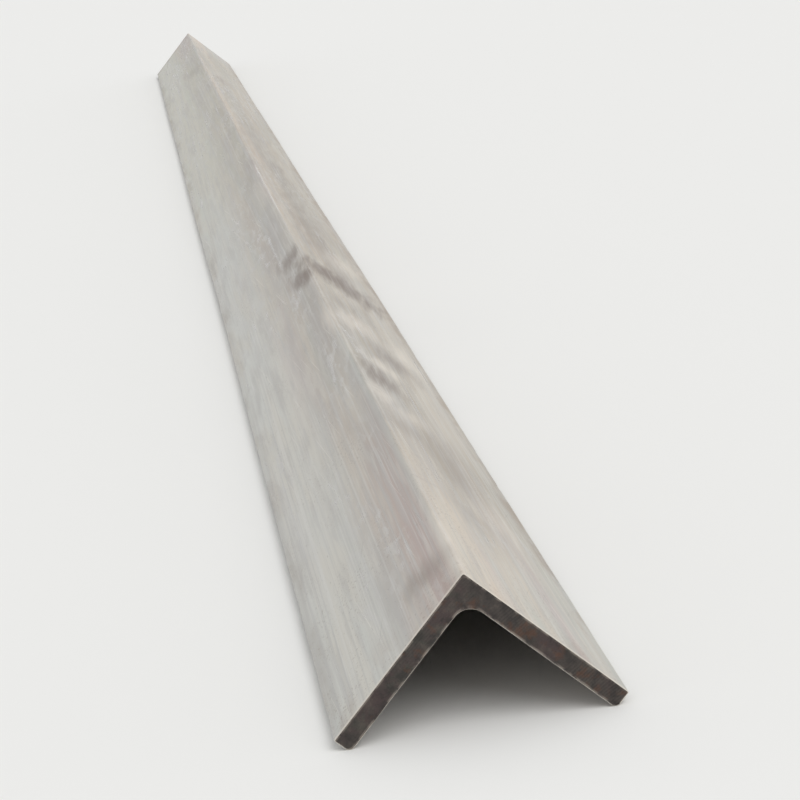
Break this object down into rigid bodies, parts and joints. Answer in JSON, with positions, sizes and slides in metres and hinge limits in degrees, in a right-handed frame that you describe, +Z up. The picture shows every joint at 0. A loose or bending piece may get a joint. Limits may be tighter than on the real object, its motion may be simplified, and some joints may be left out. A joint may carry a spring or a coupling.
{
  "type": "angle section",
  "caption": "Straight bar of equal leg hot-rolled steel angle with a filleted root and rounded toes, stock for frames, bracing and lintels, lying heel up.",
  "frame": {"origin": "on the floor under the heel, at half the bar's length", "axes": "+Y along the bar, +X across it to the right leg's toe, +Z up to the heel"},
  "size_m": [0.2108, 6, 0.1138],
  "materials": {
    "hot_rolled_steel": "hot-rolled mill scale, lightly weathered, satin; sawn ends browned with a film of rust"
  },
  "bodies": {
    "root": {"angle_section": "hot_rolled_steel"}
  },
  "joints": []
}
